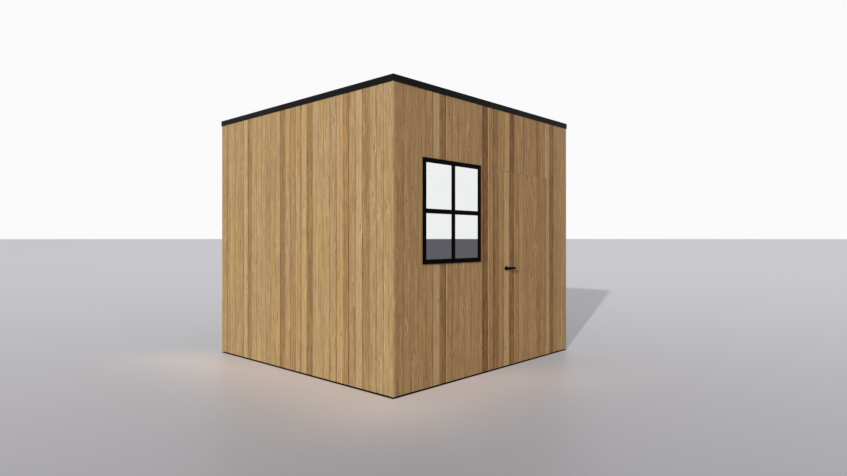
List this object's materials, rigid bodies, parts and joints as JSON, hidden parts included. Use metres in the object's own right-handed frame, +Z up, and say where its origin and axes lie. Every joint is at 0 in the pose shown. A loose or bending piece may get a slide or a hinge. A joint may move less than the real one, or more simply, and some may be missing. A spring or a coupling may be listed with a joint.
{
  "type": "garden office pod",
  "caption": "Small free-standing garden room with vertical timber cladding, a flat roof with a dark coping, a divided window and a flush clad door that swings outward.",
  "frame": {"origin": "middle of the footprint on the ground, under the middle bearer", "axes": "+Z up; the front wall with the door and window faces -Y; +X to the right when facing that wall"},
  "size_m": [3.012, 3.0655, 2.815],
  "materials": {
    "cladding_timber": "oiled softwood boards, matt",
    "coping_metal": "near-black powder coat, satin",
    "roof_membrane": "black roofing sheet, matt",
    "wall_lining": "pale plywood lining, matt",
    "door_lining": "pale plywood lining, matt",
    "base_timber": "black-stained treated timber",
    "floor_finish": "light oak planks, satin",
    "window_frame": "near-black powder coat, satin",
    "window_glass": "reflective coated double glazing",
    "door_frame": "near-black powder coat, satin",
    "threshold_metal": "mill finish",
    "hinge_metal": "bronze-toned steel",
    "handle_metal": "black powder coat, satin"
  },
  "bodies": {
    "pod": {"base_cross_bearers": "base_timber", "base_side_bearers": "base_timber", "floor_panel": "wall_lining", "floor_finish": "floor_finish", "left_wall_panel": "wall_lining", "right_wall_panel": "wall_lining", "back_wall_panel": "wall_lining", "front_wall_window_panel": "wall_lining", "front_wall_hinge_panel": "wall_lining", "front_wall_over_door": "wall_lining", "left_cladding": "cladding_timber", "right_cladding": "cladding_timber", "back_cladding": "cladding_timber", "front_cladding_window_side": "cladding_timber", "front_cladding_hinge_side": "cladding_timber", "front_cladding_over_door": "cladding_timber", "corner_post_front_left": "cladding_timber", "corner_post_front_right": "cladding_timber", "corner_post_back_right": "cladding_timber", "corner_post_back_left": "cladding_timber", "roof_panel": "wall_lining", "roof_membrane": "roof_membrane", "coping_front": "coping_metal", "coping_right": "coping_metal", "coping_back": "coping_metal", "coping_left": "coping_metal", "window_frame_head": "window_frame", "window_frame_sill": "window_frame", "window_frame_left": "window_frame", "window_frame_right": "window_frame", "window_mullion": "window_frame", "window_transoms": "window_frame", "window_panes": "window_glass", "door_jamb_latch": "door_frame", "door_frame_head": "door_frame", "door_jamb_hinge": "door_frame", "door_threshold": "threshold_metal", "hinge_frame_leaf": "hinge_metal"},
    "door": {"door_leaf": "door_lining", "door_cladding": "cladding_timber", "hinge_door_leaf": "hinge_metal", "rose_outside": "handle_metal", "rose_inside": "handle_metal"},
    "lever": {"lever_outside": "handle_metal", "lever_inside": "handle_metal"}
  },
  "joints": [
    {"name": "door_hinge", "type": "hinge", "parent": "pod", "child": "door", "pos_m": [1.00575, -1.5035, 1.1], "axis": [0, 0, 1], "range_deg": [0, 105]},
    {"name": "lever_turn", "type": "hinge", "parent": "door", "child": "lever", "pos_m": [0.19475, -1.466, 1.065], "axis": [0, 1, 0], "range_deg": [0, 45], "stiffness_Nm_per_rad": 1.2, "springref_deg": -34.38}
  ]
}
